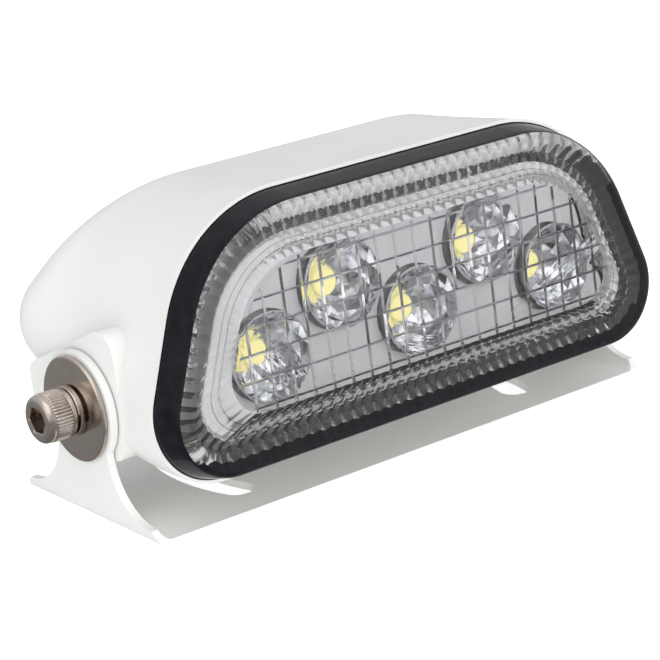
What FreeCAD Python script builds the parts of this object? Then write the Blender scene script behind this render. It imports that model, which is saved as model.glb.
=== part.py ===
"""Compact LED work light: a tilting trapezoid lamp on a bent U bracket.

Row frame: X to the light's right, Y to its back, Z up. The origin is the middle of the bracket's
underside. The lamp is drawn in its own frame, with the pivot axis along X through (0, 0, 0) and the
face square to -Y. place() then tilts it to its rest angle and lifts it to the pivot height.
"""
import FreeCAD, Part

import math
import os

V = FreeCAD.Vector
X_AXIS = V(1, 0, 0)
Y_AXIS = V(0, 1, 0)
Z_AXIS = V(0, 0, 1)

# ---- driving dimensions, in millimetres and degrees ----------------------------------------------
# bracket
sheet = 1.8                  # sheet thickness
ear_gap = 141.0              # between the ears' inner faces
base_depth = 53.0
bend_inner = 2.2
pivot_height = 26.5          # pivot axis above the underside
ear_head_r = 12.9
ear_neck_half = 9.8
ear_fillet = 14.5
ear_flare_top = 1.8          # height where the ear's flare starts
ear_sweep_r = 17.8           # room for the ear's head when the lamp tilts
slot_radius = 44.2           # middle line of the two swivel slots
slot_width = 7.6
slot_half_angle = 18.5
centre_hole_r = 4.25
ear_hole_r = 4.25

# lamp, in its own frame
rest_tilt = 4.4              # the face leans back by this at rest
face_bottom = -16.3
face_top = 42.8
face_half_bottom = 77.4      # half widths at the sharp, unrounded corners
face_half_top = 55.6
face_r_bottom = 15.7
face_r_top = 33.2
inner_corner_r = 8.0         # the smallest corner of the lamp's inner outlines
lip_y = -27.2                # front edge of the housing
lip = 0.8                    # housing edge that shows round the lens
wall = 3.0

back_bottom = (44.5, 9.5)    # (y, z) where the sloped back would meet the underside
back_top = (14.5, 42.8)      # (y, z) where the sloped back would meet the top
back_half_bottom = 74.0
back_half_top = 54.5
back_r_bottom = 14.0
back_r_top = 38.0
back_edge_r = 12.0
groove_count = 5             # cooling grooves on each side of the back
groove_width = 3.6
groove_pitch = 7.6
groove_first_x = 17.5
groove_depth = 5.0
groove_disc_r = 60.0
groove_middle = 16.0         # up the sloped back from its lower corner

pad_x = ear_gap / 2 - 0.3    # flat side pads, just inside the ears
pad_root_x = 60.0            # where their solid begins, inside the wall
pad_hollow_x = 64.5          # the cavity stops here behind them
pad_corners = [(-14.2, -12.0), (22.5, -7.0), (22.5, 6.5), (-14.2, 20.0)]     # (y, z)
pad_corner_r = [5.0, 4.0, 4.0, 5.0]
recess_depth = 12.0          # how far outside the pad the body is cut away
cavity_end = 0.86            # how deep the cavity goes, as a share of the body
pivot_boss_r = 9.0
pivot_boss_x = 52.0          # the boss's inner end
pivot_hole_x = 54.0          # inner end of the hole for the bolt
post_r = 4.2                 # posts behind the heat spreader, for the board screws
post_hole_r = 1.55
post_hole_depth = 9.0

lens_front = -36.0           # flat window of the lens
lens_back = -32.8            # rear of its rim, on the black frame
side_gap = 0.15              # between the frame and the lip
side_draft = 0.21            # inset gained for each millimetre in front of the lip
lens_edge_r = 3.0
window_back = -33.6          # inner face of the window
window_inset = 13.6
prism_front = -31.6          # the ring behind the rim: where its sloped outer side starts
prism_outer = 2.9            # inset there
prism_back = -28.6           # its flat foot, between two insets
foot_outer = 6.7
foot_inner = 8.9
bezel_back = -24.2
bezel_inner = 2.6            # inset of the black frame's opening
bezel_foot = 2.0             # thickness of the foot inside the lip
bezel_foot_inner = 7.0       # inset of the foot's opening
ledge_y = -23.4              # the housing's ledge, under the gasket
gasket_outer = 0.6
gasket_inner = 3.6
tray_front = -28.2
tray_back = -24.5
tray_inset = 9.2
tray_t = 1.0
tray_hole_gap = 0.35         # round each bowl

led_pitch = 42.0             # between neighbouring LEDs of a row
led_low_z = 7.8
led_high_z = 19.4
led_half = 3.5
emitter_r = 3.3
emitter_h = 0.7
cup_flange_r = 10.4          # outside of a reflector bowl's flange
cup_front = -31.8
cup_back = -23.0
cup_mouth_r = 9.6
cup_foot_r = 3.4
cup_wall = 0.7
cup_steps = 10
collar_r = 8.0
collar_wall = 1.1
collar_front = -25.0
collar_foot = 0.6
collar_foot_r = 0.7
collar_foot_circle = 7.1

board_front = -22.0
board_inset = 12.0
led_front = board_front - 0.8
board_t = 1.6
thermal_t = 0.8
thermal_inset = 12.5
spreader_t = 4.0
spreader_inset = 8.5
lead_places = (-2.2, 2.2)    # x of the two inner leads
lead_z = 26.5
lead_r = 0.65
lead_tip = 0.8               # how far a lead stands out of the LED board
lead_pad_hole_r = 0.8
lead_clearance_r = 1.8

screw_r = 1.5                # M3 screws
screw_head_r = 2.8
screw_head_h = 1.9
screw_slot_half = 0.4
screw_slot_reach = 1.5
screw_slot_depth = 1.0
screw_hole_r = 1.7
board_screw_length = 14.0
driver_screw_length = 5.5

driver_front = -9.0
driver_t = 1.6
driver_back = driver_front + driver_t
driver_half = 35.0
driver_low_z = 6.0
driver_high_z = 30.5
standoff_af = 5.5
standoff_hole_depth = 5.0
stud_depth = 2.8
inductor_place = (-16.0, 14.0)
inductor_half = 6.2
inductor_base = 1.2
inductor_h = 7.0
inductor_drum_r = 5.8
capacitor_places = [(20.0, 11.0), (20.0, 21.0)]
capacitor_r = 4.0
capacitor_h = 10.5
chip_boxes = [(-3.0, 3.0, 17.0, 22.0, 1.5), (2.0, 8.0, 7.5, 12.5, 2.3)]      # x, x, z, z, height
terminal_half = 6.0
terminal_h = 8.0
terminal_low_z = 23.0
terminal_high_z = 30.0
terminal_poles = (-2.6, 2.6)
terminal_hole_r = 1.5
terminal_hole_depth = 5.0

# cable gland, with its own axis at x = 0
gland_z = 17.0
gland_boss_r = 9.0
gland_boss_root = 20.0
gland_face_y = 45.0
gland_thread_r = 6.0
gland_thread_h = 9.0
gland_af = 15.0
gland_collar_h = 4.0
gland_neck_r = 5.4
gland_neck_h = 9.0           # its end, from the boss's face
gland_bore_r = 4.2
seal_start = 3.0
seal_end = 11.0
seal_r = 4.15
seal_bore_r = 3.0
nut_start = 4.2
nut_end = 13.0
nut_foot_h = 4.0
nut_foot_r = 7.2
nut_mouth_r = 5.0
nut_bore_r = 3.4

# pivot hardware, M8
bolt_r = 4.0
head_r = 5.6
head_h = 7.3
socket_af = 5.5
spring_washer_r = 5.75
spring_washer_t = 2.0
washer_r = 12.0
washer_t = 1.1
washer_gap = 0.2             # play between the ear and its washer
washer_chamfer = 0.25
head_edge_r = 0.8
socket_depth = 4.0
bolt_tip_x = -55.0
bolt_tip_chamfer = 0.8
fit_gap = 0.05
washer_x = -(ear_gap / 2 + sheet + washer_gap)
spring_x = washer_x - washer_t
head_x = spring_x - spring_washer_t

led_places = [
    (-led_pitch, led_low_z),
    (-led_pitch / 2, led_high_z),
    (0.0, led_low_z),
    (led_pitch / 2, led_high_z),
    (led_pitch, led_low_z),
]
board_screw_places = [(-42.0, 25.5), (42.0, 25.5), (-21.0, 0.5), (21.0, 0.5)]
driver_screw_places = [(-31.0, 9.5), (31.0, 9.5), (-31.0, 27.0), (31.0, 27.0)]


# ---- helpers -------------------------------------------------------------------------------------
def rounded_wire(corners, radii):
    """A closed wire through flat corners, each rounded by its radius."""
    count = len(corners)
    starts, mids, ends = [], [], []
    for i in range(count):
        before, here, after = corners[i - 1], corners[i], corners[(i + 1) % count]
        to_before = (before - here).normalize()
        to_after = (after - here).normalize()
        angle = to_before.getAngle(to_after)
        reach = radii[i] / math.tan(angle / 2)
        inward = (to_before + to_after).normalize()
        centre = here + inward * (radii[i] / math.sin(angle / 2))
        starts.append(here + to_before * reach)
        mids.append(centre - inward * radii[i])
        ends.append(here + to_after * reach)
    edges = []
    for i in range(count):
        edges.append(Part.Arc(starts[i], mids[i], ends[i]).toShape())
        edges.append(Part.LineSegment(ends[i], starts[(i + 1) % count]).toShape())
    return Part.Wire(edges)


def trapezoid(half_bottom, half_top, height, r_bottom, r_top):
    """Rounded trapezoid in the XZ plane, standing on z = 0."""
    corners = [V(-half_bottom, 0, 0), V(half_bottom, 0, 0), V(half_top, 0, height), V(-half_top, 0, height)]
    return rounded_wire(corners, [r_bottom, r_bottom, r_top, r_top])


def face_outline(y, inset=0.0, side_extra=0.0):
    """The face's outline at depth y, made smaller all round by inset, and at the sides by side_extra."""
    lean = math.atan2(face_half_bottom - face_half_top, face_top - face_bottom)
    shrink_bottom = inset / math.cos(lean) + inset * math.tan(lean) + side_extra
    shrink_top = inset / math.cos(lean) - inset * math.tan(lean) + side_extra
    wire = trapezoid(
        face_half_bottom - shrink_bottom,
        face_half_top - shrink_top,
        face_top - face_bottom - 2 * inset,
        max(face_r_bottom - inset, inner_corner_r),
        max(face_r_top - inset, inner_corner_r / 2),
    )
    wire.translate(V(0, y, face_bottom + inset))
    return wire


def plate_between(y_front, y_back, inset, side_extra=0.0):
    """A flat slab with the face's outline, from y_front to y_back."""
    face = Part.Face(face_outline(y_front, inset, side_extra))
    return face.extrude(V(0, y_back - y_front, 0))


def ring_between(y_front, y_back, inset_outer, inset_inner):
    outer = plate_between(y_front, y_back, inset_outer)
    inner = plate_between(y_front - 1, y_back + 1, inset_inner)
    return outer.cut(inner)


def rod(radius, start, end):
    """A cylinder from start to end."""
    return Part.makeCylinder(radius, (end - start).Length, start, end - start)


def along_y(radius, x, z, y_front, y_back):
    return rod(radius, V(x, y_front, z), V(x, y_back, z))


def slab(x0, x1, y0, y1, z0, z1):
    return Part.makeBox(x1 - x0, y1 - y0, z1 - z0, V(x0, y0, z0))


def hexagon(across_flats, start, end):
    """A hexagonal prism from start to end, which lie on its axis."""
    axis = end - start
    radius = across_flats / math.sqrt(3)
    turns = [math.radians(60 * k) for k in range(7)]
    points = [V(radius * math.cos(turn), radius * math.sin(turn), 0) for turn in turns]
    prism = Part.Face(Part.makePolygon(points)).extrude(V(0, 0, axis.Length))
    prism.Placement = FreeCAD.Placement(start, FreeCAD.Rotation(Z_AXIS, axis))
    return prism


def place(shape):
    """From the lamp's frame to the row frame."""
    moved = shape.copy()
    moved.rotate(V(0, 0, 0), X_AXIS, -rest_tilt)
    moved.translate(V(0, 0, pivot_height))
    return moved


def mirrored(shape):
    return shape.mirror(V(0, 0, 0), X_AXIS)


# ---- bracket -------------------------------------------------------------------------------------
def bracket_strip():
    """The sheet's U section swept over the full depth."""
    inner = ear_gap / 2
    outer = inner + sheet
    top = pivot_height + ear_head_r + 1
    bend_outer = bend_inner + sheet
    outside = rounded_wire(
        [V(-outer, 0, 0), V(outer, 0, 0), V(outer, 0, top), V(-outer, 0, top)],
        [bend_outer, bend_outer, 0.5, 0.5],
    )
    inside = rounded_wire(
        [V(-inner, 0, sheet), V(inner, 0, sheet), V(inner, 0, top + 5), V(-inner, 0, top + 5)],
        [bend_inner, bend_inner, 0.5, 0.5],
    )
    depth = V(0, base_depth, 0)
    strip = Part.Face(outside).extrude(depth).cut(Part.Face(inside).extrude(depth))
    strip.translate(V(0, -base_depth / 2, 0))
    return strip


def ear_profile():
    """Side view of the bracket, as a prism over its full width."""
    half = base_depth / 2
    neck = ear_neck_half
    flare = ear_flare_top + (half - neck - ear_fillet)
    shoulder = flare + ear_fillet
    x = -ear_gap / 2 - sheet - 1
    sides = []
    for sign in (-1, 1):
        low = V(x, sign * half, ear_flare_top)
        chamfer = V(x, sign * (neck + ear_fillet), flare)
        neck_end = V(x, sign * neck, shoulder)
        centre = V(x, sign * (neck + ear_fillet), shoulder)
        bend = centre + V(0, -sign * ear_fillet * math.sqrt(0.5), -ear_fillet * math.sqrt(0.5))
        sides.append((low, chamfer, bend, neck_end))
    front, back = sides
    base_front = V(x, -half, -1)
    base_back = V(x, half, -1)
    neck_top_front = V(x, -neck, pivot_height)
    neck_top_back = V(x, neck, pivot_height)
    edges = [
        Part.LineSegment(base_front, front[0]).toShape(),
        Part.LineSegment(front[0], front[1]).toShape(),
        Part.Arc(front[1], front[2], front[3]).toShape(),
        Part.LineSegment(front[3], neck_top_front).toShape(),
        Part.LineSegment(neck_top_front, neck_top_back).toShape(),
        Part.LineSegment(neck_top_back, back[3]).toShape(),
        Part.Arc(back[3], back[2], back[1]).toShape(),
        Part.LineSegment(back[1], back[0]).toShape(),
        Part.LineSegment(back[0], base_back).toShape(),
        Part.LineSegment(base_back, base_front).toShape(),
    ]
    width = V(-2 * x, 0, 0)
    body = Part.Face(Part.Wire(edges)).extrude(width)
    head = rod(ear_head_r, V(x, 0, pivot_height), V(-x, 0, pivot_height))
    return body.fuse(head).removeSplitter()


def swivel_slot(sign):
    """An arc slot round the centre hole, through the base."""
    half_width = slot_width / 2
    low, high = -1, sheet + 1
    outer = rod(slot_radius + half_width, V(0, 0, low), V(0, 0, high))
    inner = rod(slot_radius - half_width, V(0, 0, low), V(0, 0, high))
    reach = math.radians(slot_half_angle)
    far = slot_radius * 1.6
    wedge = Part.Face(Part.makePolygon([
        V(0, 0, low),
        V(sign * far * math.cos(reach), -far * math.sin(reach), low),
        V(sign * far * math.cos(reach), far * math.sin(reach), low),
        V(0, 0, low),
    ])).extrude(V(0, 0, high - low))
    slot = outer.cut(inner).common(wedge)
    for end in (-1, 1):
        x = sign * slot_radius * math.cos(reach)
        y = end * slot_radius * math.sin(reach)
        slot = slot.fuse(rod(half_width, V(x, y, low), V(x, y, high)))
    return slot.removeSplitter()


def mounting_bracket():
    bracket = bracket_strip().common(ear_profile()).removeSplitter()
    reach = ear_gap
    bracket = bracket.cut(rod(ear_hole_r, V(-reach, 0, pivot_height), V(reach, 0, pivot_height)))
    bracket = bracket.cut(rod(centre_hole_r, V(0, 0, -1), V(0, 0, sheet + 1)))
    for sign in (-1, 1):
        bracket = bracket.cut(swivel_slot(sign))
    return bracket


# ---- lamp housing --------------------------------------------------------------------------------
def mix(a, b, t):
    return a + (b - a) * t


def body_section(t, inset):
    """The housing's section at t, from the lip (0) to the sloped back (1), on its own sloped plane."""
    low_y = mix(lip_y, back_bottom[0], t)
    low_z = mix(face_bottom - lip, back_bottom[1], t * t)
    high_y = mix(lip_y, back_top[0], t)
    high_z = mix(face_top + lip, back_top[1], t)
    height = math.hypot(high_y - low_y, high_z - low_z)
    wire = trapezoid(
        mix(face_half_bottom + lip, back_half_bottom, t) - inset,
        mix(face_half_top + lip, back_half_top, t) - inset,
        height - 2 * inset,
        max(mix(face_r_bottom + lip, back_r_bottom, t) - inset, 2.0),
        max(mix(face_r_top + lip, back_r_top, t) - inset, 4.0),
    )
    wire.translate(V(0, 0, inset))
    lean = math.degrees(math.atan2(low_y - high_y, high_z - low_z))
    wire.rotate(V(0, 0, 0), X_AXIS, lean)
    wire.translate(V(0, low_y, low_z))
    return wire


def body_loft(first, last, inset, steps=6):
    sections = [body_section(mix(first, last, k / steps), inset) for k in range(steps + 1)]
    return Part.makeLoft(sections, True, False)


def back_frame():
    """A point on the sloped back, and the directions up along it and out of it."""
    low = V(0, back_bottom[0], back_bottom[1])
    high = V(0, back_top[0], back_top[1])
    up = (high - low).normalize()
    out = V(0, up.z, -up.y)
    return low, up, out


def cooling_grooves():
    """Disc-shaped cuts between the fins of the sloped back. They run out before its top edge."""
    low, up, out = back_frame()
    centre = low + up * groove_middle + out * (groove_disc_r - groove_depth)
    grooves = []
    for side in (-1, 1):
        for k in range(groove_count):
            start = centre + X_AXIS * (side * (groove_first_x + groove_pitch * k) - groove_width / 2)
            grooves.append(rod(groove_disc_r, start, start + X_AXIS * groove_width))
    return grooves


def side_pad(side, x_inner, x_outer):
    """The flat pad beside each ear: upright at the front, falling towards the back."""
    wire = rounded_wire([V(0, y, z) for y, z in pad_corners], pad_corner_r)
    wire.translate(V(side * x_inner, 0, 0))
    return Part.Face(wire).extrude(V(side * (x_outer - x_inner), 0, 0))


def ear_recess(side):
    """Room for the ear, outside the pad's plane."""
    pad = side_pad(side, pad_x, pad_x + recess_depth)
    sweep = rod(ear_sweep_r, V(side * pad_x, 0, 0), V(side * (pad_x + recess_depth), 0, 0))
    return pad.fuse(sweep)


def housing():
    """Hollow casting: lip for the black frame, side pads, cooling grooves, posts and gland boss."""
    outer = body_loft(0.0, 1.0, 0.0)
    rear = [e for e in outer.Edges if on_back(e)]
    outer = outer.makeFillet(back_edge_r, rear)
    for groove in cooling_grooves():
        outer = outer.cut(groove)
    for side in (-1, 1):
        outer = outer.cut(ear_recess(side)).fuse(side_pad(side, pad_root_x, pad_x))
    outer = outer.fuse(along_y(gland_boss_r, 0, gland_z, gland_boss_root, gland_face_y))

    cavity = body_loft(0.0, cavity_end, wall, 5)
    cavity = cavity.cut(slab(-90, 90, lip_y - 1, ledge_y, -40, 70))
    for side in (-1, 1):
        cavity = cavity.cut(rod(pivot_boss_r, V(side * pivot_boss_x, 0, 0), V(side * 80, 0, 0)))
        cavity = cavity.cut(side_pad(side, pad_hollow_x, 80))
    for x, z in board_screw_places:
        cavity = cavity.cut(along_y(post_r, x, z, spreader_back(), 80))
    shell = outer.cut(cavity)
    shell = shell.cut(plate_between(lip_y - 1, ledge_y, -fit_gap))

    for side in (-1, 1):
        shell = shell.cut(rod(bolt_r + fit_gap, V(side * pivot_hole_x, 0, 0), V(side * 90, 0, 0)))
    for x, z in board_screw_places:
        shell = shell.cut(along_y(post_hole_r, x, z, spreader_back() - 1, spreader_back() + post_hole_depth))
    shell = shell.cut(along_y(gland_thread_r + fit_gap, 0, gland_z, gland_boss_root - 2, gland_face_y + 5))
    return largest(shell.removeSplitter())


def on_back(edge):
    """True for the edges of the sloped back's rim."""
    low, up, out = back_frame()
    return all(abs((v.Point - low).dot(out)) < 0.01 for v in edge.Vertexes)


def largest(shape):
    return max(shape.Solids, key=lambda solid: solid.Volume)


def spreader_front():
    return board_front + board_t + thermal_t


def spreader_back():
    return spreader_front() + spreader_t


# ---- lens, bezel and tray ------------------------------------------------------------------------
def side_inset(y):
    """Inset of the drafted side that the black frame and the lens share."""
    return side_gap + side_draft * max(lip_y - y, 0.0)


def tapered_block(y_back, inset_back, y_front, inset_front):
    """Block between two face outlines at different depths and insets."""
    outlines = [face_outline(y_back, inset_back), face_outline(y_front, inset_front)]
    return Part.makeLoft(outlines, True, True)


def drafted_block(y_back, y_front):
    """Block with the shared drafted sides, from y_back to y_front."""
    return tapered_block(y_back, side_inset(y_back), y_front, side_inset(y_front))


def lens():
    """Clear cover: flat window, rounded edge, and a ring of prisms that tapers back from the rim."""
    cover = drafted_block(lens_back, lens_front)
    rim = [e for e in cover.Edges if all(abs(v.Y - lens_front) < 0.01 for v in e.Vertexes)]
    cover = cover.makeFillet(lens_edge_r, rim)
    cover = cover.fuse(plate_between(lens_back - 0.5, prism_front, prism_outer))
    cover = cover.fuse(tapered_block(prism_back, foot_outer, prism_front, prism_outer))
    hollow = tapered_block(prism_back, foot_inner, window_back, window_inset)
    return cover.cut(hollow).removeSplitter()


def bezel_frame():
    """Black frame that carries the lens in front of the housing's lip, with a foot inside the lip."""
    frame = drafted_block(lip_y, lens_back).fuse(plate_between(lip_y, bezel_back, side_gap))
    frame = frame.cut(plate_between(lens_back - 1, bezel_back - bezel_foot, bezel_inner))
    foot_opening = plate_between(bezel_back - bezel_foot - 1, bezel_back + 1, bezel_foot_inner)
    return frame.cut(foot_opening).removeSplitter()


def lens_gasket():
    """Flat rubber ring between the black frame and the housing's ledge."""
    return ring_between(bezel_back, ledge_y, gasket_outer, gasket_inner)


def reflector_tray():
    """Silver tray behind the lens, holed for the bowls, with a short skirt towards the board."""
    tray = ring_between(tray_front, tray_back, tray_inset, tray_inset + tray_t)
    tray = tray.fuse(plate_between(tray_front, tray_front + tray_t, tray_inset))
    for x, z in led_places:
        tray = tray.cut(along_y(cup_flange_r + tray_hole_gap, x, z, -40, -20))
    return tray.removeSplitter()


# ---- LEDs, bowls and boards ----------------------------------------------------------------------
def led_board():
    board = plate_between(board_front, board_front + board_t, board_inset)
    for x, z in board_screw_places:
        board = board.cut(along_y(screw_hole_r, x, z, -40, 0))
    for x in lead_places:
        board = board.cut(along_y(lead_pad_hole_r, x, lead_z, -40, 0))
    return board


def led(x, z):
    """Square white package with a low domed yellow emitter."""
    package = slab(x - led_half, x + led_half, led_front, board_front, z - led_half, z + led_half)
    sphere_r = (emitter_r ** 2 + emitter_h ** 2) / (2 * emitter_h)
    dome = Part.makeSphere(sphere_r, V(x, led_front - emitter_h + sphere_r, z))
    dome = dome.common(along_y(emitter_r + 1, x, z, led_front - emitter_h - 1, led_front + 0.2))
    return package.fuse(dome).removeSplitter()


def cup_profile(offset):
    """Points of the bowl's parabola, from its foot to its mouth, moved out by offset."""
    points = []
    for k in range(cup_steps + 1):
        share = k / cup_steps
        radius = math.sqrt(mix(cup_foot_r ** 2, cup_mouth_r ** 2, share))
        points.append(V(radius + offset, mix(cup_back, cup_front, share), 0))
    return points


def reflector_cup(x, z):
    """Thin metallised bowl round the LED, with a small flange at its mouth."""
    inner, outer = cup_profile(0.0), cup_profile(cup_wall)
    edges = [
        spline(inner),
        Part.LineSegment(inner[-1], outer[-1]).toShape(),
        spline(outer),
        Part.LineSegment(outer[0], inner[0]).toShape(),
    ]
    bowl = Part.Face(Part.Wire(Part.__sortEdges__(edges))).revolve(V(0, 0, 0), Y_AXIS, 360)
    bowl.translate(V(x, 0, z))
    flange = along_y(cup_flange_r, x, z, cup_front, cup_front + cup_wall)
    flange = flange.cut(along_y(cup_mouth_r, x, z, cup_front - 1, cup_front + 2))
    return bowl.fuse(flange).removeSplitter()


def spline(points):
    curve = Part.BSplineCurve()
    curve.interpolate(points)
    return curve.toShape()


def cup_collar(x, z):
    """Ring that seats the bowl on the board, with three small feet."""
    ring = along_y(collar_r, x, z, collar_front, board_front - collar_foot)
    for turn in (90, 210, 330):
        angle = math.radians(turn)
        foot_x = x + collar_foot_circle * math.cos(angle)
        foot_z = z + collar_foot_circle * math.sin(angle)
        ring = ring.fuse(along_y(collar_foot_r, foot_x, foot_z, collar_front, board_front))
    return ring.cut(along_y(collar_r - collar_wall, x, z, -40, 0)).removeSplitter()


def thermal_pad():
    """Soft grey sheet between the LED board and the heat spreader."""
    pad = plate_between(board_front + board_t, spreader_front(), thermal_inset)
    for x, z in board_screw_places:
        pad = pad.cut(along_y(screw_hole_r, x, z, -40, 0))
    for x in lead_places:
        pad = pad.cut(along_y(lead_clearance_r, x, lead_z, -40, 0))
    return pad


def heat_spreader():
    """Aluminium plate that carries the LED board in front and the driver's posts behind."""
    plate = plate_between(spreader_front(), spreader_back(), spreader_inset)
    for x, z in board_screw_places:
        plate = plate.cut(along_y(screw_hole_r, x, z, -40, 0))
    for x, z in driver_screw_places:
        plate = plate.cut(along_y(screw_r + fit_gap, x, z, spreader_back() - stud_depth - 0.2, 0))
    for x in lead_places:
        plate = plate.cut(along_y(lead_clearance_r, x, lead_z, -40, 0))
    return plate


def screw(x, z, head_y, length, towards):
    """Pan-head screw: its head ends at head_y, and its shank runs on along Y in the sense of towards."""
    top = head_y - towards * screw_head_h
    head = along_y(screw_head_r, x, z, top, head_y)
    low, high = sorted((top - towards * 0.1, top + towards * screw_slot_depth))
    half, reach = screw_slot_half, screw_slot_reach
    cross = slab(x - half, x + half, low, high, z - reach, z + reach)
    cross = cross.fuse(slab(x - reach, x + reach, low, high, z - half, z + half))
    return head.cut(cross).fuse(along_y(screw_r, x, z, head_y, head_y + towards * length))


def board_screws():
    return Part.makeCompound([
        screw(x, z, board_front, board_screw_length, 1) for x, z in board_screw_places
    ])


def driver_standoffs():
    """Hexagonal brass posts, each with a stud into the spreader and a threaded hole behind."""
    posts = []
    for x, z in driver_screw_places:
        post = hexagon(standoff_af, V(x, spreader_back(), z), V(x, driver_front, z))
        stud = along_y(screw_r, x, z, spreader_back() - stud_depth, spreader_back())
        hole = along_y(screw_r + fit_gap, x, z, driver_front - standoff_hole_depth, driver_front + 1)
        posts.append(post.fuse(stud).cut(hole))
    return Part.makeCompound(posts)


def driver_board():
    board = slab(-driver_half, driver_half, driver_front, driver_back, driver_low_z, driver_high_z)
    for x, z in driver_screw_places:
        board = board.cut(along_y(screw_hole_r, x, z, -40, 0))
    return board


def driver_screws():
    return Part.makeCompound([
        screw(x, z, driver_back, driver_screw_length, -1) for x, z in driver_screw_places
    ])


def driver_inductor():
    """Shielded coil: a square base under a round drum."""
    x, z = inductor_place
    half = inductor_half
    drum_start = driver_back + inductor_base
    base = slab(x - half, x + half, driver_back, drum_start, z - half, z + half)
    return base.fuse(along_y(inductor_drum_r, x, z, drum_start, driver_back + inductor_h))


def driver_capacitors():
    return Part.makeCompound([
        along_y(capacitor_r, x, z, driver_back, driver_back + capacitor_h) for x, z in capacitor_places
    ])


def driver_chips():
    return Part.makeCompound([
        slab(x0, x1, driver_back, driver_back + height, z0, z1) for x0, x1, z0, z1, height in chip_boxes
    ])


def supply_terminal():
    """Two-pole terminal block for the supply lead."""
    top = driver_back + terminal_h
    block = slab(-terminal_half, terminal_half, driver_back, top, terminal_low_z, terminal_high_z)
    middle_z = (terminal_low_z + terminal_high_z) / 2
    for x in terminal_poles:
        block = block.cut(along_y(terminal_hole_r, x, middle_z, top - terminal_hole_depth, top + 1))
    return block


def inner_leads():
    """Two straight leads from the driver board through the spreader to the LED board."""
    return Part.makeCompound([
        along_y(lead_r, x, lead_z, board_front - lead_tip, driver_front) for x in lead_places
    ])


# ---- cable gland ---------------------------------------------------------------------------------
def along_gland(radius, start, end):
    """A cylinder on the gland's axis, from start to end behind the boss's face."""
    return along_y(radius, 0, gland_z, gland_face_y + start, gland_face_y + end)


def gland_hexagon(start, end):
    return hexagon(gland_af, V(0, gland_face_y + start, gland_z), V(0, gland_face_y + end, gland_z))


def gland_body():
    """Threaded inlet with a hexagonal collar and a neck that holds the rubber bush."""
    body = along_gland(gland_thread_r, -gland_thread_h, 0).fuse(gland_hexagon(0, gland_collar_h))
    body = body.fuse(along_gland(gland_neck_r, gland_collar_h, gland_neck_h))
    return body.cut(along_gland(gland_bore_r, -25, 25)).removeSplitter()


def gland_seal():
    return along_gland(seal_r, seal_start, seal_end).cut(along_gland(seal_bore_r, -25, 25))


def gland_nut():
    """Domed clamping nut with a hexagonal foot."""
    dome_start = nut_start + nut_foot_h
    foot_end = V(0, gland_face_y + dome_start, gland_z)
    nut = gland_hexagon(nut_start, dome_start)
    nut = nut.fuse(Part.makeCone(nut_foot_r, nut_mouth_r, nut_end - dome_start, foot_end, Y_AXIS))
    nut = nut.cut(along_gland(gland_neck_r + fit_gap, nut_start - 1, gland_neck_h + 0.1))
    nut = nut.cut(along_gland(seal_r + fit_gap, nut_start, seal_end + 0.1))
    return nut.cut(along_gland(nut_bore_r, nut_start, nut_end + 1)).removeSplitter()


# ---- pivot hardware, drawn for the left side -----------------------------------------------------
def flat_washer():
    """Large washer with chamfered rims."""
    disc = rod(washer_r, V(spring_x, 0, 0), V(washer_x, 0, 0))
    rim = [e for e in disc.Edges if abs(e.Length - 2 * math.pi * washer_r) < 0.1]
    disc = disc.makeChamfer(washer_chamfer, rim)
    return disc.cut(rod(bolt_r + 0.2, V(spring_x - 1, 0, 0), V(washer_x + 1, 0, 0)))


def spring_washer():
    """One turn of square wire, split at the front."""
    ring = rod(spring_washer_r, V(head_x, 0, 0), V(spring_x, 0, 0))
    ring = ring.cut(rod(bolt_r + 0.1, V(head_x - 1, 0, 0), V(spring_x + 1, 0, 0)))
    split = slab(head_x - 1, spring_x + 1, -10, 0, -0.35, 0.35)
    split.rotate(V(head_x + 1, 0, 0), Y_AXIS, 28)
    return ring.cut(split)


def circles_at(shape, x):
    """The shape's round edges in the plane at x."""
    return [e for e in shape.Edges if abs(e.Vertexes[0].X - x) < 0.01 and len(e.Vertexes) == 1]


def pivot_bolt():
    """Socket cap screw."""
    head_end = head_x - head_h
    head = rod(head_r, V(head_end, 0, 0), V(head_x, 0, 0))
    head = head.makeFillet(head_edge_r, circles_at(head, head_end))
    head = head.cut(hexagon(socket_af, V(head_end - 1, 0, 0), V(head_end + socket_depth, 0, 0)))
    shank = rod(bolt_r, V(head_x, 0, 0), V(bolt_tip_x, 0, 0))
    return head.fuse(shank.makeChamfer(bolt_tip_chamfer, circles_at(shank, bolt_tip_x)))


# ---- write every node ----------------------------------------------------------------------------
def build():
    nodes = {"mounting_bracket": mounting_bracket()}
    lamp = {
        "housing": housing(),
        "lens": lens(),
        "bezel_frame": bezel_frame(),
        "lens_gasket": lens_gasket(),
        "reflector_tray": reflector_tray(),
        "led_board": led_board(),
        "thermal_pad": thermal_pad(),
        "heat_spreader": heat_spreader(),
        "board_screws": board_screws(),
        "inner_leads": inner_leads(),
        "driver_board": driver_board(),
        "driver_standoffs": driver_standoffs(),
        "driver_screws": driver_screws(),
        "driver_inductor": driver_inductor(),
        "driver_capacitors": driver_capacitors(),
        "driver_chips": driver_chips(),
        "supply_terminal": supply_terminal(),
        "gland_body": gland_body(),
        "gland_seal": gland_seal(),
        "gland_nut": gland_nut(),
    }
    for number, (x, z) in enumerate(led_places, start=1):
        lamp[f"led_{number}"] = led(x, z)
        lamp[f"reflector_cup_{number}"] = reflector_cup(x, z)
        lamp[f"cup_collar_{number}"] = cup_collar(x, z)
    for name, shape in (
        ("flat_washer", flat_washer()),
        ("spring_washer", spring_washer()),
        ("pivot_bolt", pivot_bolt()),
    ):
        lamp[f"{name}_left"] = shape
        lamp[f"{name}_right"] = mirrored(shape)
    for name, shape in lamp.items():
        nodes[name] = place(shape)
    return nodes


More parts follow.
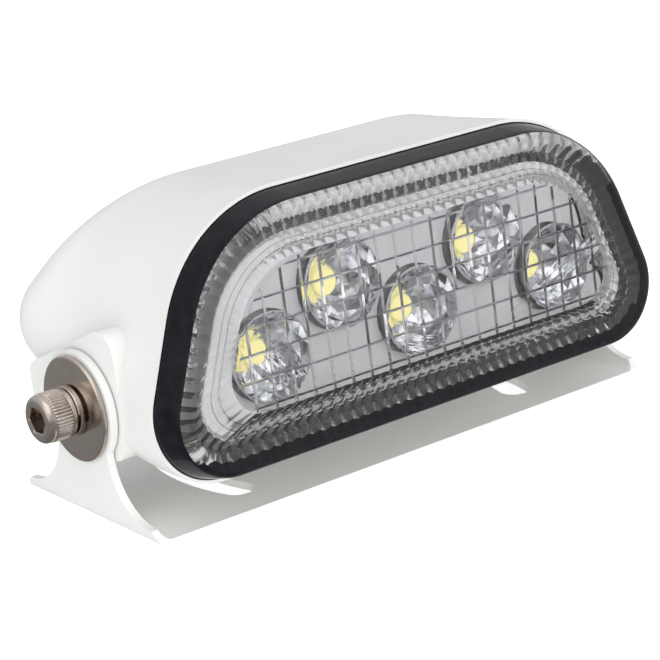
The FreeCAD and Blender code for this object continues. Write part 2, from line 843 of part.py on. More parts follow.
def main():
    os.makedirs("parts", exist_ok=True)
    for name, shape in build().items():
        shape.exportStep(f"parts/{name}.step")
        print(name, shape.isValid(), len(shape.Solids), round(shape.Volume, 1))


main()
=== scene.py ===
"""Looks of a compact LED work light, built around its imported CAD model."""

import math

import bmesh
import bpy
from mathutils import Matrix, Vector


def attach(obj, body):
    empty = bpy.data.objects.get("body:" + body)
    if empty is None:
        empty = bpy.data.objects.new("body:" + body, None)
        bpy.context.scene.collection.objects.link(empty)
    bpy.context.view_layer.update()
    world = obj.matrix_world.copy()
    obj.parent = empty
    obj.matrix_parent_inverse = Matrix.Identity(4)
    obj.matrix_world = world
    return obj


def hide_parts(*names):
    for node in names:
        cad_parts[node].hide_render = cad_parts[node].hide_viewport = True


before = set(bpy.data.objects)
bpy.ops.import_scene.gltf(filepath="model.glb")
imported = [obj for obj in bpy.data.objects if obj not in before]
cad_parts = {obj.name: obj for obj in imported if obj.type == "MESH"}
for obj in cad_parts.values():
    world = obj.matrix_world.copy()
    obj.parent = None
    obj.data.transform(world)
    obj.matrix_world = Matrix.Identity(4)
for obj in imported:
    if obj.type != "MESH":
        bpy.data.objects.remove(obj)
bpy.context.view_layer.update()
scene = bpy.context.scene

# ---- dimensions, in millimetres, as in the CAD model ---------------------------------------------
# The lamp's frame has its origin on the pivot axis: x along the axis, y to the back and z up, before
# the lamp is tilted to rest.
MM = 0.001
rest_tilt = math.radians(4.4)
pivot_height = 26.5
face_bottom, face_top = -16.3, 42.8
face_half_bottom, face_half_top = 77.4, 55.6
face_r_bottom, face_r_top = 15.7, 33.2
inner_corner_r = 8.0
lip_y = -27.2
lens_front, lens_back = -36.0, -32.8
side_gap, side_draft = 0.15, 0.21
lens_edge_r = 3.0
led_places = [(-42.0, 7.8), (-21.0, 19.4), (0.0, 7.8), (21.0, 19.4), (42.0, 7.8)]


def place(x, y, z):
    """From the lamp's frame, in mm, to the row frame, in metres."""
    c, s = math.cos(rest_tilt), math.sin(rest_tilt)
    return Vector((x, y * c + z * s, pivot_height - y * s + z * c)) * MM


# ---- materials -----------------------------------------------------------------------------------
class Look:
    """One procedural material under construction. Its methods drive the shader's inputs by noise."""

    def __init__(self, name):
        self.mat = bpy.data.materials.new(name)
        self.mat.use_nodes = True
        self.tree = self.mat.node_tree
        self.shader = self.tree.nodes["Principled BSDF"]
        self.coords = self.tree.nodes.new("ShaderNodeTexCoord")

    def link(self, a, b):
        self.tree.links.new(a, b)

    def put(self, **values):
        for key, value in values.items():
            self.shader.inputs[key.replace("_", " ")].default_value = value
        return self

    def noise(self, scale, detail=3.0, stretch=(1, 1, 1), roughness=0.5):
        mapping = self.tree.nodes.new("ShaderNodeMapping")
        mapping.inputs["Scale"].default_value = stretch
        self.link(self.coords.outputs["Object"], mapping.inputs["Vector"])
        node = self.tree.nodes.new("ShaderNodeTexNoise")
        node.inputs["Scale"].default_value = scale
        node.inputs["Detail"].default_value = detail
        node.inputs["Roughness"].default_value = roughness
        self.link(mapping.outputs["Vector"], node.inputs["Vector"])
        return node.outputs["Fac"]

    def ramp(self, source, low, high, target, start=0.35, end=0.65):
        node = self.tree.nodes.new("ShaderNodeValToRGB")
        node.color_ramp.elements[0].position = start
        node.color_ramp.elements[1].position = end
        node.color_ramp.elements[0].color = (*low, 1)
        node.color_ramp.elements[1].color = (*high, 1)
        self.link(source, node.inputs["Fac"])
        self.link(node.outputs["Color"], self.shader.inputs[target])
        return self

    def span(self, source, low, high, target):
        node = self.tree.nodes.new("ShaderNodeMapRange")
        node.inputs["From Min"].default_value = 0.3
        node.inputs["From Max"].default_value = 0.7
        node.inputs["To Min"].default_value = low
        node.inputs["To Max"].default_value = high
        self.link(source, node.inputs["Value"])
        self.link(node.outputs["Result"], self.shader.inputs[target])
        return self

    def bump(self, source, strength, distance):
        node = self.tree.nodes.new("ShaderNodeBump")
        node.inputs["Strength"].default_value = strength
        node.inputs["Distance"].default_value = distance
        self.link(source, node.inputs["Height"])
        self.link(node.outputs["Normal"], self.shader.inputs["Normal"])
        return self


def surface(name, low, high, grain, rough, bump=None, stretch=(1, 1, 1), **values):
    """An opaque material: its colour is between low and high and its roughness between rough's two.

    bump, for a grained surface, is the bump's own noise scale, strength and distance.
    """
    look = Look(name).put(**values)
    noise = look.noise(grain, stretch=stretch)
    look.ramp(noise, low, high, "Base Color")
    look.span(noise, rough[0], rough[1], "Roughness")
    if bump:
        look.bump(look.noise(bump[0], detail=2.0, stretch=stretch), bump[1], bump[2])
    return look.mat


def clear(name, tint, rough, share=1.0):
    """A moulded plastic that lets this share of the light through; the rest scatters, as if frosted."""
    look = Look(name).put(IOR=1.5, Transmission_Weight=share)
    noise = look.noise(60.0)
    look.ramp(noise, tuple(0.985 * c for c in tint), tint, "Base Color")
    look.span(noise, rough[0], rough[1], "Roughness")
    return look.mat


powder = surface("white_powder", (0.69, 0.695, 0.672), (0.715, 0.718, 0.697), 35.0, (0.34, 0.44),
                 (1400.0, 0.12, 0.00006))
steel = surface("stainless_steel", (0.53, 0.46, 0.405), (0.56, 0.49, 0.435), 700.0, (0.19, 0.24),
                (2600.0, 0.03, 0.00002), Metallic=1.0)
black_plastic = surface("black_plastic", (0.004, 0.004, 0.006), (0.009, 0.009, 0.012), 300.0,
                        (0.14, 0.24), (1500.0, 0.05, 0.00003), Specular_IOR_Level=0.15)
rubber = surface("black_rubber", (0.010, 0.010, 0.010), (0.02, 0.02, 0.02), 500.0, (0.6, 0.75),
                 (1800.0, 0.2, 0.00005))
silver = surface("silver_tray", (0.67, 0.66, 0.675), (0.73, 0.72, 0.725), 120.0, (0.35, 0.5),
                 (900.0, 0.1, 0.00005), Metallic=0.1)
mask_white = surface("white_solder_mask", (0.68, 0.69, 0.68), (0.75, 0.75, 0.73), 400.0, (0.35, 0.5))
silicone = surface("grey_silicone", (0.3, 0.3, 0.31), (0.36, 0.36, 0.37), 400.0, (0.6, 0.8))
aluminium = surface("plate_aluminium", (0.6, 0.6, 0.61), (0.7, 0.7, 0.71), 500.0, (0.3, 0.45),
                    Metallic=1.0)
wire = surface("tinned_wire", (0.6, 0.6, 0.6), (0.72, 0.72, 0.7), 900.0, (0.25, 0.4), Metallic=1.0)
green = surface("green_board", (0.02, 0.12, 0.05), (0.03, 0.17, 0.07), 300.0, (0.3, 0.45))
brass = surface("brass", (0.6, 0.43, 0.16), (0.7, 0.52, 0.22), 500.0, (0.25, 0.4), Metallic=1.0)
ferrite = surface("ferrite", (0.03, 0.03, 0.032), (0.05, 0.05, 0.05), 500.0, (0.55, 0.7))
cans = surface("capacitor_cans", (0.45, 0.46, 0.5), (0.6, 0.61, 0.64), 500.0, (0.25, 0.4),
               Metallic=0.8)
epoxy = surface("black_epoxy", (0.012, 0.012, 0.013), (0.022, 0.022, 0.022), 500.0, (0.45, 0.6))
terminal = surface("terminal_plastic", (0.03, 0.12, 0.2), (0.04, 0.15, 0.25), 500.0, (0.4, 0.55))
# The phosphor's emission is a painted glow: it brightens the yellow domes of LEDs that are not lit.
phosphor = surface("led_phosphor", (0.86, 0.78, 0.34), (0.92, 0.85, 0.42), 700.0, (0.45, 0.6),
                   Emission_Color=(1.0, 0.90, 0.36, 1.0), Emission_Strength=0.4)
holder_plastic = surface("holder_plastic", (0.55, 0.55, 0.55), (0.65, 0.65, 0.66), 300.0, (0.25, 0.4))
gland_plastic = surface("gland_plastic", (0.012, 0.012, 0.013), (0.02, 0.02, 0.022), 400.0, (0.35, 0.5),
                        (1300.0, 0.15, 0.00005))
lens_clear = clear("lens_clear", (0.97, 0.975, 0.985), (0.0, 0.02))
# The prism glass is the clear lens tinted beige as painted shade: it darkens the toothed ring and dims its
# glints.
painted_shade_prisms = clear("painted_shade_prisms", (0.76, 0.71, 0.67), (0.04, 0.08), 0.955)
# The groove glass is the clear lens tinted dark grey as painted shade, for dark lines along the window's
# grooves and two thin rings.
painted_groove_shade = clear("painted_groove_shade", (0.42, 0.42, 0.45), (0.25, 0.4))
lens_frosted = clear("lens_frosted", (0.98, 0.975, 0.98), (0.05, 0.10), 0.58)
chrome = surface("bright_reflector", (0.84, 0.84, 0.86), (0.89, 0.89, 0.90), 300.0, (0.07, 0.11),
                 Metallic=1.0)

SLOT_LOOKS = {
    "white_powder_coat": powder, "white_coated_casting": powder, "clear_lens": lens_clear,
    "bright_reflector": chrome, "black_bezel": black_plastic, "black_rubber": rubber, "silver_tray": silver,
    "white_solder_mask": mask_white, "grey_silicone": silicone, "plate_aluminium": aluminium,
    "stainless": steel, "tinned_wire": wire, "green_board": green, "brass_posts": brass,
    "dark_ferrite": ferrite, "capacitor_cans": cans, "black_epoxy": epoxy, "terminal_plastic": terminal,
    "led_phosphor": phosphor, "holder_plastic": holder_plastic, "gland_plastic": gland_plastic,
}


def dress_nodes():
    """Gives each CAD node the material of its slot in the record."""
    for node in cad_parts.values():
        for slot in node.material_slots:
            slot.material = SLOT_LOOKS[slot.material.name.split(".")[0]]


dress_nodes()


# ---- meshes --------------------------------------------------------------------------------------
def add_piece(name, bm, mats, body, replaced=(), sharp_degrees=30.0):
    """Turns a bmesh, in metres in the row frame, into a piece that rides a body.

    Edges whose faces meet at more than sharp_degrees are shaded sharp.
    """
    bmesh.ops.recalc_face_normals(bm, faces=bm.faces)
    limit = math.radians(sharp_degrees)
    for face in bm.faces:
        face.smooth = True
    for edge in bm.edges:
        if len(edge.link_faces) == 2 and edge.calc_face_angle(0.0) > limit:
            edge.smooth = False
    mesh = bpy.data.meshes.new(name)
    bm.to_mesh(mesh)
    bm.free()
    piece = bpy.data.objects.new(name, mesh)
    scene.collection.objects.link(piece)
    for mat in mats:
        mesh.materials.append(mat)
    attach(piece, body)
    if replaced:
        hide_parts(*replaced)
    return piece


def bridge(bm, loop_a, loop_b, material=0):
    """Quads between two closed rings of the same number of vertices."""
    for k in range(len(loop_a)):
        n = (k + 1) % len(loop_a)
        bm.faces.new((loop_a[k], loop_a[n], loop_b[n], loop_b[k])).material_index = material


def rounded_section(width, height, radius, steps=3):
    """Points of a rounded rectangle round (0, 0)."""
    points = []
    for cx, cy, first in ((1, 1, 0), (-1, 1, 90), (-1, -1, 180), (1, -1, 270)):
        for k in range(steps + 1):
            angle = math.radians(first + 90 * k / steps)
            points.append((cx * (width / 2 - radius) + radius * math.cos(angle),
                           cy * (height / 2 - radius) + radius * math.sin(angle)))
    return points


# ---- the face's outline, shared by the lens's rings ----------------------------------------------
def outline_parts(inset):
    """The outline's four corner arcs at an inset: centre, radius, start angle and sweep of each."""
    lean = math.atan2(face_half_bottom - face_half_top, face_top - face_bottom)
    shrink_bottom = inset / math.cos(lean) + inset * math.tan(lean)
    shrink_top = inset / math.cos(lean) - inset * math.tan(lean)
    half_b, half_t = face_half_bottom - shrink_bottom, face_half_top - shrink_top
    low, high = face_bottom + inset, face_top - inset
    r_b, r_t = max(face_r_bottom - inset, inner_corner_r), max(face_r_top - inset, inner_corner_r / 2)
    corners = [(-half_b, low, r_b), (half_b, low, r_b), (half_t, high, r_t), (-half_t, high, r_t)]
    arcs = []
    for i, (x, z, radius) in enumerate(corners):
        here = Vector((x, z))
        to_before = (Vector(corners[i - 1][:2]) - here).normalized()
        to_after = (Vector(corners[(i + 1) % 4][:2]) - here).normalized()
        half_angle = to_before.angle(to_after) / 2
        inward = (to_before + to_after).normalized()
        centre = here + inward * (radius / math.sin(half_angle))
        start = here + to_before * (radius / math.tan(half_angle)) - centre
        end = here + to_after * (radius / math.tan(half_angle)) - centre
        first = math.atan2(start.y, start.x)
        sweep = (math.atan2(end.y, end.x) - first) % (2 * math.pi)
        arcs.append((centre, radius, first, sweep))
    return arcs


def arc_point(arc, share):
    """The point this share of the way along a corner arc, and the outward direction there."""
    centre, radius, first, sweep = arc
    angle = first + sweep * share
    out = Vector((math.cos(angle), math.sin(angle)))
    return centre + radius * out, out


def outline_stretches(inset):
    """Lengths of the outline's stretches: each corner arc, then the straight side after it."""
    arcs = outline_parts(inset)
    stretches = []
    for arc, following in zip(arcs, arcs[1:] + arcs[:1]):
        straight = arc_point(following, 0)[0] - arc_point(arc, 1)[0]
        stretches += [arc[1] * arc[3], straight.length]
    return stretches


def outline_samples(inset, count):
    """Evenly spaced places on the outline: which stretch each is on, and how far along it."""
    stretches = outline_stretches(inset)
    samples = []
    for k in range(count):
        left = sum(stretches) * k / count
        for index, length in enumerate(stretches):
            if left <= length or index == len(stretches) - 1:
                samples.append((index, min(left / length, 1.0)))
                break
            left -= length
    return samples


def outline_ring(samples, inset):
    """The samples' points on the outline at this inset, and their outward directions, as (x, z)."""
    arcs = outline_parts(inset)
    points, outs = [], []
    for index, share in samples:
        corner, straight = divmod(index, 2)
        if straight:
            start, out = arc_point(arcs[corner], 1)
            end, _ = arc_point(arcs[(corner + 1) % 4], 0)
            point = start.lerp(end, share)
        else:
            point, out = arc_point(arcs[corner], share)
        points.append(point)
        outs.append(out)
    return points, outs


def side_inset(y):
    """How far the lens's drafted side lies inside the face's outline at this depth."""
    return side_gap + side_draft * max(lip_y - y, 0.0)


# ---- lens ----------------------------------------------------------------------------------------
flute_inset = 5.0          # where the teeth are spaced by flute_pitch, each drawn in flute_steps
flute_pitch, flute_steps = 3.1, 8
window_inset, window_back = 13.6, -33.6
grid_inset, grid_border_samples = 14.0, 88
grid_reach = 80            # past the window's furthest corner
cell_x, cell_z = 5.25, 5.8
groove_half_x, groove_half_z = 0.42, 0.30
groove_depth_x, groove_depth_z = 0.36, 0.28
prism_outer = 2.9
prism_front, prism_back = -31.6, -28.6
foot_outer, foot_inner = 6.7, 8.9
band_inset = 7.0           # between the rounded edge and the window, on the front face


def tooth(phase):
    """A sharp symmetric tooth: 0 at the flute's edges, 1 at its middle."""
    return 1 - abs(2 * phase - 1)


def scallop(phase):
    """A round flute with sharp edges: 0 at its edges, 1 at its middle."""
    return math.sin(math.pi * phase)


def edge_arc(steps=8):
    """(inset, y) points of the lens's rounded front edge, from its side to its window."""
    slope = Vector((side_draft, -1.0)).normalized()
    inward = Vector((-slope.y, slope.x))
    centre_y = lens_front + lens_edge_r
    foot = Vector((side_inset(lens_front), lens_front))
    along = (centre_y - foot.y - inward.y * lens_edge_r) / slope.y
    centre = foot + slope * along + inward * lens_edge_r
    start = math.atan2(-inward.y, -inward.x)
    sweep = (-math.pi / 2 - start) % (2 * math.pi)
    points = []
    for k in range(steps + 1):
        angle = start + sweep * k / steps
        points.append((centre.x + lens_edge_r * math.cos(angle), centre.y + lens_edge_r * math.sin(angle)))
    return points


# The lens's materials, by their index in its mesh.
LENS_MATERIALS = [lens_clear, black_plastic, painted_shade_prisms, painted_groove_shade, lens_frosted]
CLEAR, BLACK, PRISM, GROOVE_SHADE, FROST = range(len(LENS_MATERIALS))

# Which sides of the lens are bonded to black: all, all but the top, only the bottom, or none. Each is
# a limit on how far up the outline faces there. Black all round stands for the lens's black frame; the
# black that reaches further in on the sides and along the bottom only is painted shade.
ALL, SIDES, BOTTOM, NONE = 2.0, 0.45, -0.6, -2.0
# The frosted bands are plain prism along the bottom's straight side, which faces further down than this;
# the darker prism glass there is painted shade along the bottom.
STRAIGHT_BOTTOM = -0.93

# The lens's inner rings, from its rim to its window: inset, y, how far the teeth push it outward and
# forward, how far the scallops lift it, the black sides from it to the next ring, and the material there
inner_profile = [
    (prism_outer, prism_front, 0.0, 0.0, 0.0, SIDES, PRISM),
    (3.8, -30.9, 0.25, 0.0, 0.0, BOTTOM, PRISM),
    (5.0, -29.95, 0.45, 0.0, 0.0, NONE, PRISM),
    (6.3, -28.9, 0.45, 0.0, 0.0, NONE, PRISM),
    (foot_outer, prism_back, 0.3, 0.0, 0.0, NONE, PRISM),
    (foot_outer + 0.05, prism_back, 0.0, 0.5, 0.0, NONE, PRISM),
    (7.8, prism_back, 0.0, 0.5, 0.0, NONE, PRISM),
    (foot_inner - 0.15, prism_back, 0.0, 0.5, 0.0, NONE, PRISM),
    (foot_inner, prism_back, 0.0, 0.0, 0.1, NONE, FROST),
    # The two thin rings of groove glass are painted shade: dark lines between the frosted bands.
    (10.35, -30.0, 0.0, 0.0, 0.1, NONE, GROOVE_SHADE),
    (10.5, -30.15, 0.0, 0.0, 0.1, NONE, FROST),
    (11.5, -31.25, 0.0, 0.0, 0.1, NONE, GROOVE_SHADE),
    (11.6, -31.4, 0.0, 0.0, 0.25, NONE, FROST),
    (12.4, -32.25, 0.0, 0.0, 0.35, NONE, FROST),
    (13.2, -33.15, 0.0, 0.0, 0.25, NONE, FROST),
    (window_inset, window_back, 0.0, 0.0, 0.0, NONE, CLEAR),
]


def clip_to_outline(bm, samples, inset):
    """Cuts a flat mesh in the lamp's XZ plane to the convex outline at this inset."""
    points, outs = outline_ring(samples, inset)
    for point, out in zip(points, outs):
        geometry = bm.verts[:] + bm.edges[:] + bm.faces[:]
        bmesh.ops.bisect_plane(bm, geom=geometry, dist=1e-5, plane_co=(point.x, 0, point.y),
                               plane_no=(out.x, 0, out.y), clear_outer=True)


def grid_stations(first, pitch, half_groove, depth):
    """Three positions across each of the window's parallel grooves, and the depth at each."""
    stations = []
    middle = first
    while middle > -grid_reach:
        middle -= pitch
    while middle < grid_reach:
        stations += [(middle - half_groove, 0.0), (middle, depth), (middle + half_groove, 0.0)]
        middle += pitch
    return stations


def window_grid():
    """The window's outer face, in the lamp's frame in mm: flat pads between V grooves."""
    bm = bmesh.new()
    across = grid_stations(cell_x / 2, cell_x, groove_half_x, groove_depth_x)
    upward = grid_stations(led_places[0][1] + cell_z / 2, cell_z, groove_half_z, groove_depth_z)
    rows = []
    for z, depth_z in upward:
        rows.append([bm.verts.new((x, lens_front + max(depth_x, depth_z), z)) for x, depth_x in across])
    # Of each three strips the first two are a groove's flanks and the third is flat. The flanks take the
    # dark groove glass as painted shade, but the right flank of each upright groove takes the lighter prism
    # glass, painted as its lit side.
    for row, (low, high) in enumerate(zip(rows, rows[1:])):
        for k in range(len(low) - 1):
            face = bm.faces.new((low[k], low[k + 1], high[k + 1], high[k]))
            flat_row = row % 3 == 2
            if flat_row and k % 3 == 2:
                face.material_index = CLEAR
            elif flat_row and k % 3 == 1:
                face.material_index = PRISM
            else:
                face.material_index = GROOVE_SHADE
    clip_to_outline(bm, outline_samples(grid_inset, grid_border_samples), grid_inset)
    return bm


def add_lens():
    """Solid lens: gridded window, rounded front edge, and a toothed and scalloped ring behind it."""
    bm = window_grid()
    grid_edges = [e for e in bm.edges if len(e.link_faces) == 1]
    flutes = round(sum(outline_stretches(flute_inset)) / flute_pitch)
    samples = outline_samples(flute_inset, flutes * flute_steps)

    def ring(inset, y, outward=0.0, forward=0.0, lift=0.0):
        points, outs = outline_ring(samples, inset)
        verts = []
        for k, (point, out) in enumerate(zip(points, outs)):
            phase = (k % flute_steps) / flute_steps
            shift = out * (outward * tooth(phase))
            rise = forward * tooth((phase + 0.5) % 1) + lift * scallop(phase)
            verts.append(bm.verts.new((point.x + shift.x, y - rise, point.y + shift.y)))
        return verts

    facing = [out.y for out in outline_ring(samples, flute_inset)[1]]

    def join(a, b, black_below, material=CLEAR):
        for k in range(len(a)):
            n = (k + 1) % len(a)
            face = bm.faces.new((a[k], a[n], b[n], b[k]))
            if facing[k] < black_below:
                face.material_index = BLACK
            elif material == FROST and facing[k] < STRAIGHT_BOTTOM:
                face.material_index = PRISM
            else:
                face.material_index = material

    outer_profile = [(prism_outer, lens_back, ALL), (side_inset(lens_back), lens_back, ALL)]
    # The rounded edge is black all round at first, then black along the bottom only: painted shade on the
    # bottom of the edge.
    for step, (inset, y) in enumerate(edge_arc()):
        outer_profile.append((inset, y, ALL if step < 2 else BOTTOM if step < 5 else NONE))
    outer_profile += [(band_inset, lens_front, NONE), (window_inset, lens_front, NONE)]
    outer = [ring(inset, y) for inset, y, _ in outer_profile]
    inner = [ring(*row[:5]) for row in inner_profile]
    for a, b, row in zip(outer, outer[1:], outer_profile):
        join(a, b, row[2])
    for a, b, row in zip(inner, inner[1:], inner_profile):
        join(b, a, row[5], row[6])
    join(inner[0], outer[0], ALL)
    bm.faces.new(inner[-1])
    last = set(outer[-1])
    border = [e for e in bm.edges if len(e.link_faces) == 1 and last.issuperset(e.verts)]
    bmesh.ops.bridge_loops(bm, edges=border + grid_edges)
    for vert in bm.verts:
        vert.co = place(*vert.co)
    lens = add_piece("lens_cover", bm, LENS_MATERIALS, "lamp", ["lens"])
    lens.visible_shadow = False


add_lens()


# ---- LEDs and their bowls ------------------------------------------------------------------------
board_front, led_side = -22.0, 7.0
package_front = board_front - 0.8
package_bevel, package_corner_r = 0.15, 0.5
emitter_r, emitter_h, emitter_sink = 3.3, 0.7, 0.1
emitter_bands, emitter_count = 6, 48
cup_back, cup_front = -23.0, -31.8
cup_foot_r, cup_mouth_r, cup_wall = 3.4, 9.6, 0.7
flange_r, flange_bevel = 10.4, 0.15
cup_facets, cup_bands = 10, 4
cup_steps = 8                     # steps of the round outside for each facet inside
cup_sharp_degrees = 5.0


def lamp_ring(bm, cx, cz, y, radius, count, turn=0.0):
    """A ring of vertices round an axis along the lamp's Y."""
    angles = [2 * math.pi * (k + turn) / count for k in range(count)]
    return [bm.verts.new(place(cx + radius * math.cos(a), y, cz + radius * math.sin(a))) for a in angles]


def add_led(number, cx, cz):
    """Ceramic package with bevelled edges under a low round dome of phosphor."""
    bm = bmesh.new()
    front_side = led_side - 2 * package_bevel
    full = rounded_section(led_side, led_side, package_corner_r)
    bevelled = rounded_section(front_side, front_side, package_corner_r - 0.1)
    levels = [(full, board_front), (full, package_front + package_bevel), (bevelled, package_front)]
    loops = [[bm.verts.new(place(cx + x, y, cz + z)) for x, z in points] for points, y in levels]
    for a, b in zip(loops, loops[1:]):
        bridge(bm, a, b)
    bm.faces.new(loops[0])
    bm.faces.new(loops[-1])
    domes = [lamp_ring(bm, cx, cz, package_front + emitter_sink, emitter_r, emitter_count)]
    for k in range(emitter_bands):
        share = k / emitter_bands
        height = emitter_h * share * (2 - share)
        radius = emitter_r * (1 - share ** 2) ** 0.5
        domes.append(lamp_ring(bm, cx, cz, package_front - height, radius, emitter_count))
    for a, b in zip(domes, domes[1:]):
        bridge(bm, a, b, material=1)
    for loop in (domes[0], domes[-1]):
        bm.faces.new(loop).material_index = 1
    add_piece(f"led_chip_{number}", bm, [mask_white, phosphor], "lamp", [f"led_{number}"])


def add_cup(number, cx, cz):
    """Reflector bowl: flat facets inside, round outside, and a thin flange at its mouth."""
    bm = bmesh.new()
    inside, outside = [], []
    for k in range(cup_bands + 1):
        share = k / cup_bands
        radius = math.sqrt(cup_foot_r ** 2 + (cup_mouth_r ** 2 - cup_foot_r ** 2) * share)
        y = cup_back + (cup_front - cup_back) * share
        corner_r = radius / math.cos(math.pi / cup_facets)
        inside.append(lamp_ring(bm, cx, cz, y, corner_r, cup_facets, 0.5 * (k % 2)))
        outside.append((y, radius + cup_wall))
    count = cup_facets * cup_steps
    flange = [(cup_front + cup_wall, flange_r - 0.1), (cup_front + flange_bevel, flange_r),
              (cup_front, flange_r - flange_bevel)]
    outer = [lamp_ring(bm, cx, cz, y, radius, count) for y, radius in outside[:-1] + flange]
    for a, b in zip(outer, outer[1:]):
        bridge(bm, a, b, material=1)
    for band, (a, b) in enumerate(zip(inside, inside[1:])):
        for k in range(cup_facets):
            n = (k + 1) % cup_facets
            if band % 2 == 0:
                corners = ((a[k], b[k], a[n]), (a[n], b[k], b[n]))
            else:
                corners = ((a[k], a[n], b[n]), (a[k], b[n], b[k]))
            for three in corners:
                bm.faces.new(three)
    middle = cup_steps // 2
    for few, many in ((inside[0], outer[0]), (inside[-1], outer[-1])):
        for k in range(count):
            near = few[(k + middle) // cup_steps % cup_facets]
            bm.faces.new((near, many[k], many[(k + 1) % count]))
        for k in range(cup_facets):
            bm.faces.new((few[k], few[(k + 1) % cup_facets], many[cup_steps * k + middle]))
    add_piece(f"bowl_{number}", bm, [chrome, silver], "lamp",
              [f"reflector_cup_{number}"], cup_sharp_degrees)


# ---- pivot hardware, the same on both sides ------------------------------------------------------
washer_x, spring_x, head_x, end_x = 72.5, 73.6, 75.6, 82.9     # inner face of each, and the bolt's end
bolt_tip_x = 55.0
bolt_r, head_r, washer_r = 4.0, 5.6, 12.0
washer_hole_r, washer_edge_r, washer_count = 4.25, 0.45, 128
spring_r, spring_wall, wire_thickness = 5.75, 1.7, 0.92
spring_turns, spring_steps, spring_margin = 1.94, 180, 0.5
knurl_count, knurl_steps = 44, 6          # together a multiple of six, for the socket's corners
knurl_depth = 0.3
socket_apothem, socket_depth, socket_rim_r = 2.75, 4.0, 3.5
head_edge_r = 1.4


def axis_ring(bm, side, x, radius_at, count):
    """A ring of vertices round the pivot axis; radius_at gives the radius at each share of the turn."""
    verts = []
    for k in range(count):
        angle = 2 * math.pi * k / count
        radius = radius_at(k / count)
        verts.append(bm.verts.new(place(side * x, radius * math.cos(angle), radius * math.sin(angle))))
    return verts


def circular(radius):
    """A round section, for axis_ring."""
    return lambda share: radius


def hexagonal(share):
    """The screw's socket, for axis_ring."""
    return socket_apothem / math.cos(math.radians((share * 360) % 60 - 30))


def knurled(share):
    """The screw head's knurled side, for axis_ring: rounded ridges with sharp valleys."""
    return head_r - knurl_depth * abs(2 * (share * knurl_count % 1) - 1) ** 1.5


def add_bolt(side, name):
    """Socket cap screw: hexagonal socket, rounded end, knurled side and a smooth collar."""
    bm = bmesh.new()
    count = knurl_count * knurl_steps
    floor_x = end_x - socket_depth
    flat_r = head_r - head_edge_r - 0.15
    rings = [(floor_x, hexagonal), (end_x - 0.25, hexagonal), (end_x, circular(socket_rim_r)),
             (end_x, circular(flat_r))]
    for k in range(1, 7):
        angle = math.radians(15 * k)
        x = end_x - head_edge_r * (1 - math.cos(angle))
        rings.append((x, circular(flat_r + head_edge_r * math.sin(angle))))
    rings += [
        (end_x - 1.8, circular(head_r - 0.15)), (end_x - 2.0, circular(head_r - 0.3)),
        (end_x - 2.3, knurled), (head_x + 1.3, knurled),
        (head_x + 1.1, circular(head_r - 0.3)), (head_x + 0.9, circular(head_r - 0.1)),
        (head_x + 0.3, circular(head_r - 0.05)), (head_x, circular(head_r - 0.3)),
        (head_x, circular(bolt_r)), (bolt_tip_x + 1.0, circular(bolt_r)),
        (bolt_tip_x + 0.2, circular(bolt_r - 0.8)),
    ]
    loops = [axis_ring(bm, side, x, radius_at, count) for x, radius_at in rings]
    for a, b in zip(loops, loops[1:]):
        bridge(bm, a, b)
    for x, loop in ((floor_x - 0.6, loops[0]), (bolt_tip_x, loops[-1])):
        tip = bm.verts.new(place(side * x, 0, 0))
        for k in range(count):
            bm.faces.new((loop[k], loop[(k + 1) % count], tip))
    add_piece(f"cap_screw_{name}", bm, [steel], "lamp", [f"pivot_bolt_{name}"], 24.0)


def add_spring_washer(side, name):
    """Nearly two turns of flat wire, with cut ends."""
    bm = bmesh.new()
    section = rounded_section(wire_thickness, spring_wall, 0.28)
    middle_r = spring_r - spring_wall / 2
    start_x = spring_x + spring_margin
    pitch = (head_x - spring_x - 2 * spring_margin) / spring_turns
    loops = []
    for k in range(spring_steps + 1):
        turn = spring_turns * k / spring_steps
        angle = 2 * math.pi * turn + math.radians(200)
        loop = []
        for dx, dr in section:
            x, radius = start_x + pitch * turn + dx, middle_r + dr
            loop.append(bm.verts.new(place(side * x, radius * math.cos(angle), radius * math.sin(angle))))
        loops.append(loop)
    for a, b in zip(loops, loops[1:]):
        bridge(bm, a, b)
    bm.faces.new(loops[0])
    bm.faces.new(loops[-1])
    add_piece(f"lock_washer_{name}", bm, [steel], "lamp", [f"spring_washer_{name}"], 40.0)


def add_flat_washer(side, name):
    """Large stamped washer: rounded edge on one face, sharp on the other."""
    bm = bmesh.new()
    rings = [(washer_x, washer_hole_r), (washer_x, washer_r - 0.12), (washer_x + 0.12, washer_r)]
    for k in range(5):
        angle = math.radians(22.5 * k)
        rings.append((spring_x - washer_edge_r * (1 - math.sin(angle)),
                      washer_r - washer_edge_r * (1 - math.cos(angle))))
    rings += [(spring_x, washer_hole_r + 0.25), (spring_x - 0.25, washer_hole_r)]
    loops = [axis_ring(bm, side, x, circular(radius), washer_count) for x, radius in rings]
    for a, b in zip(loops, loops[1:] + loops[:1]):
        bridge(bm, a, b)
    add_piece(f"wide_washer_{name}", bm, [steel], "lamp", [f"flat_washer_{name}"])


for number, (led_x, led_z) in enumerate(led_places, start=1):
    add_led(number, led_x, led_z)
    add_cup(number, led_x, led_z)
for side, name in ((-1, "left"), (1, "right")):
    add_bolt(side, name)
    add_spring_washer(side, name)
    add_flat_washer(side, name)


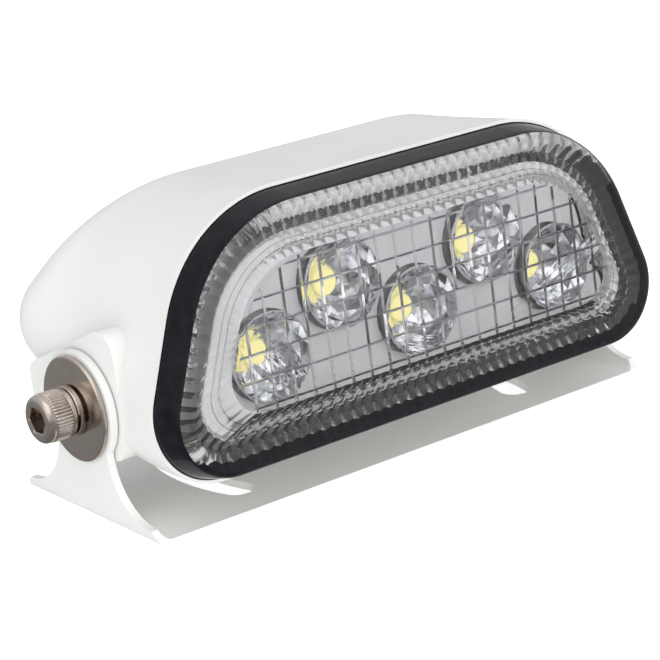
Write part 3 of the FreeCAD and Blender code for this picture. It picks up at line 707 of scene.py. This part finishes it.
# ---- stage, light and camera ---------------------------------------------------------------------
def add_floor():
    """Pale floor that lights the object softly from below but shows in no reflection."""
    reach = 6.0
    corners = [(-reach, -reach, 0), (reach, -reach, 0), (reach, reach, 0), (-reach, reach, 0)]
    mesh = bpy.data.meshes.new("floor")
    mesh.from_pydata(corners, [], [(0, 1, 2, 3)])
    floor = bpy.data.objects.new("floor", mesh)
    scene.collection.objects.link(floor)
    mesh.materials.append(surface("floor_pale", (0.80, 0.80, 0.80), (0.82, 0.82, 0.82), 3.0, (0.8, 0.9),
                                  Emission_Color=(1.0, 1.0, 1.0, 1.0), Emission_Strength=0.6))
    floor.visible_glossy = False
    floor.visible_transmission = False


def add_light(name, energy, size, position, target, mirrored=True):
    """A soft area light. One that isn't mirrored lights surfaces without showing in them."""
    data = bpy.data.lights.new(name, "AREA")
    data.shape = "RECTANGLE"
    data.size, data.size_y = size
    data.energy = energy
    light = bpy.data.objects.new(name, data)
    scene.collection.objects.link(light)
    light.location = position
    light.rotation_euler = (Vector(target) - Vector(position)).to_track_quat("-Z", "Y").to_euler()
    light.visible_glossy = mirrored
    light.visible_transmission = mirrored


def add_world():
    """Soft studio dome: brightest overhead, dim below the horizon."""
    world = bpy.data.worlds.new("studio")
    scene.world = world
    world.use_nodes = True
    tree = world.node_tree
    back = tree.nodes["Background"]
    back.inputs["Color"].default_value = (0.96, 0.98, 1.0, 1)
    coords = tree.nodes.new("ShaderNodeTexCoord")
    split = tree.nodes.new("ShaderNodeSeparateXYZ")
    ramp = tree.nodes.new("ShaderNodeValToRGB")
    shift = tree.nodes.new("ShaderNodeMapRange")
    shift.inputs["From Min"].default_value = -1.0
    tree.links.new(coords.outputs["Generated"], split.inputs["Vector"])
    tree.links.new(split.outputs["Z"], shift.inputs["Value"])
    tree.links.new(shift.outputs["Result"], ramp.inputs["Fac"])
    tree.links.new(ramp.outputs["Color"], back.inputs["Strength"])
    stops = ramp.color_ramp.elements
    stops[0].position, stops[0].color = 0.0, (0.22, 0.22, 0.22, 1)
    stops[1].position, stops[1].color = 1.0, (1.0, 1.0, 1.0, 1)
    for position, level in ((0.48, 0.38), (0.56, 0.66), (0.75, 0.66)):
        stop = stops.new(position)
        stop.color = (level, level, level, 1)


def add_camera():
    """Seen from the front left, a little above: angles in radians, distances in mm."""
    azimuth, elevation, roll = 0.644, 0.316, -0.082
    distance, across, up_shift = 584.9, 3.57, -23.9
    level = math.cos(elevation)
    view = Vector((math.sin(azimuth) * level, math.cos(azimuth) * level, -math.sin(elevation)))
    level_right = Vector((math.cos(azimuth), -math.sin(azimuth), 0))
    level_up = level_right.cross(view)
    right = level_right * math.cos(roll) + level_up * math.sin(roll)
    up = level_up * math.cos(roll) - level_right * math.sin(roll)
    data = bpy.data.cameras.new("camera")
    data.sensor_width = 36.0
    data.lens = 133.9
    data.clip_start, data.clip_end = 0.01, 20
    camera = bpy.data.objects.new("camera", data)
    scene.collection.objects.link(camera)
    basis = Matrix((right, up, -view)).transposed().to_4x4()
    basis.translation = -(right * across + up * up_shift + view * distance) * MM
    camera.matrix_world = basis
    scene.camera = camera


add_floor()
add_world()
add_light("key", 8.0, (1.8, 1.8), (-0.6, -0.6, 1.3), (0, 0, 0.03))
add_light("side", 2.4, (1.6, 1.2), (-1.4, -0.3, 0.5), (0, 0, 0.03))
add_light("front", 19.0, (2.2, 0.8), (0.1, -1.6, 0.42), (0, 0, 0.02), mirrored=False)
add_camera()
scene.view_settings.view_transform = "Standard"
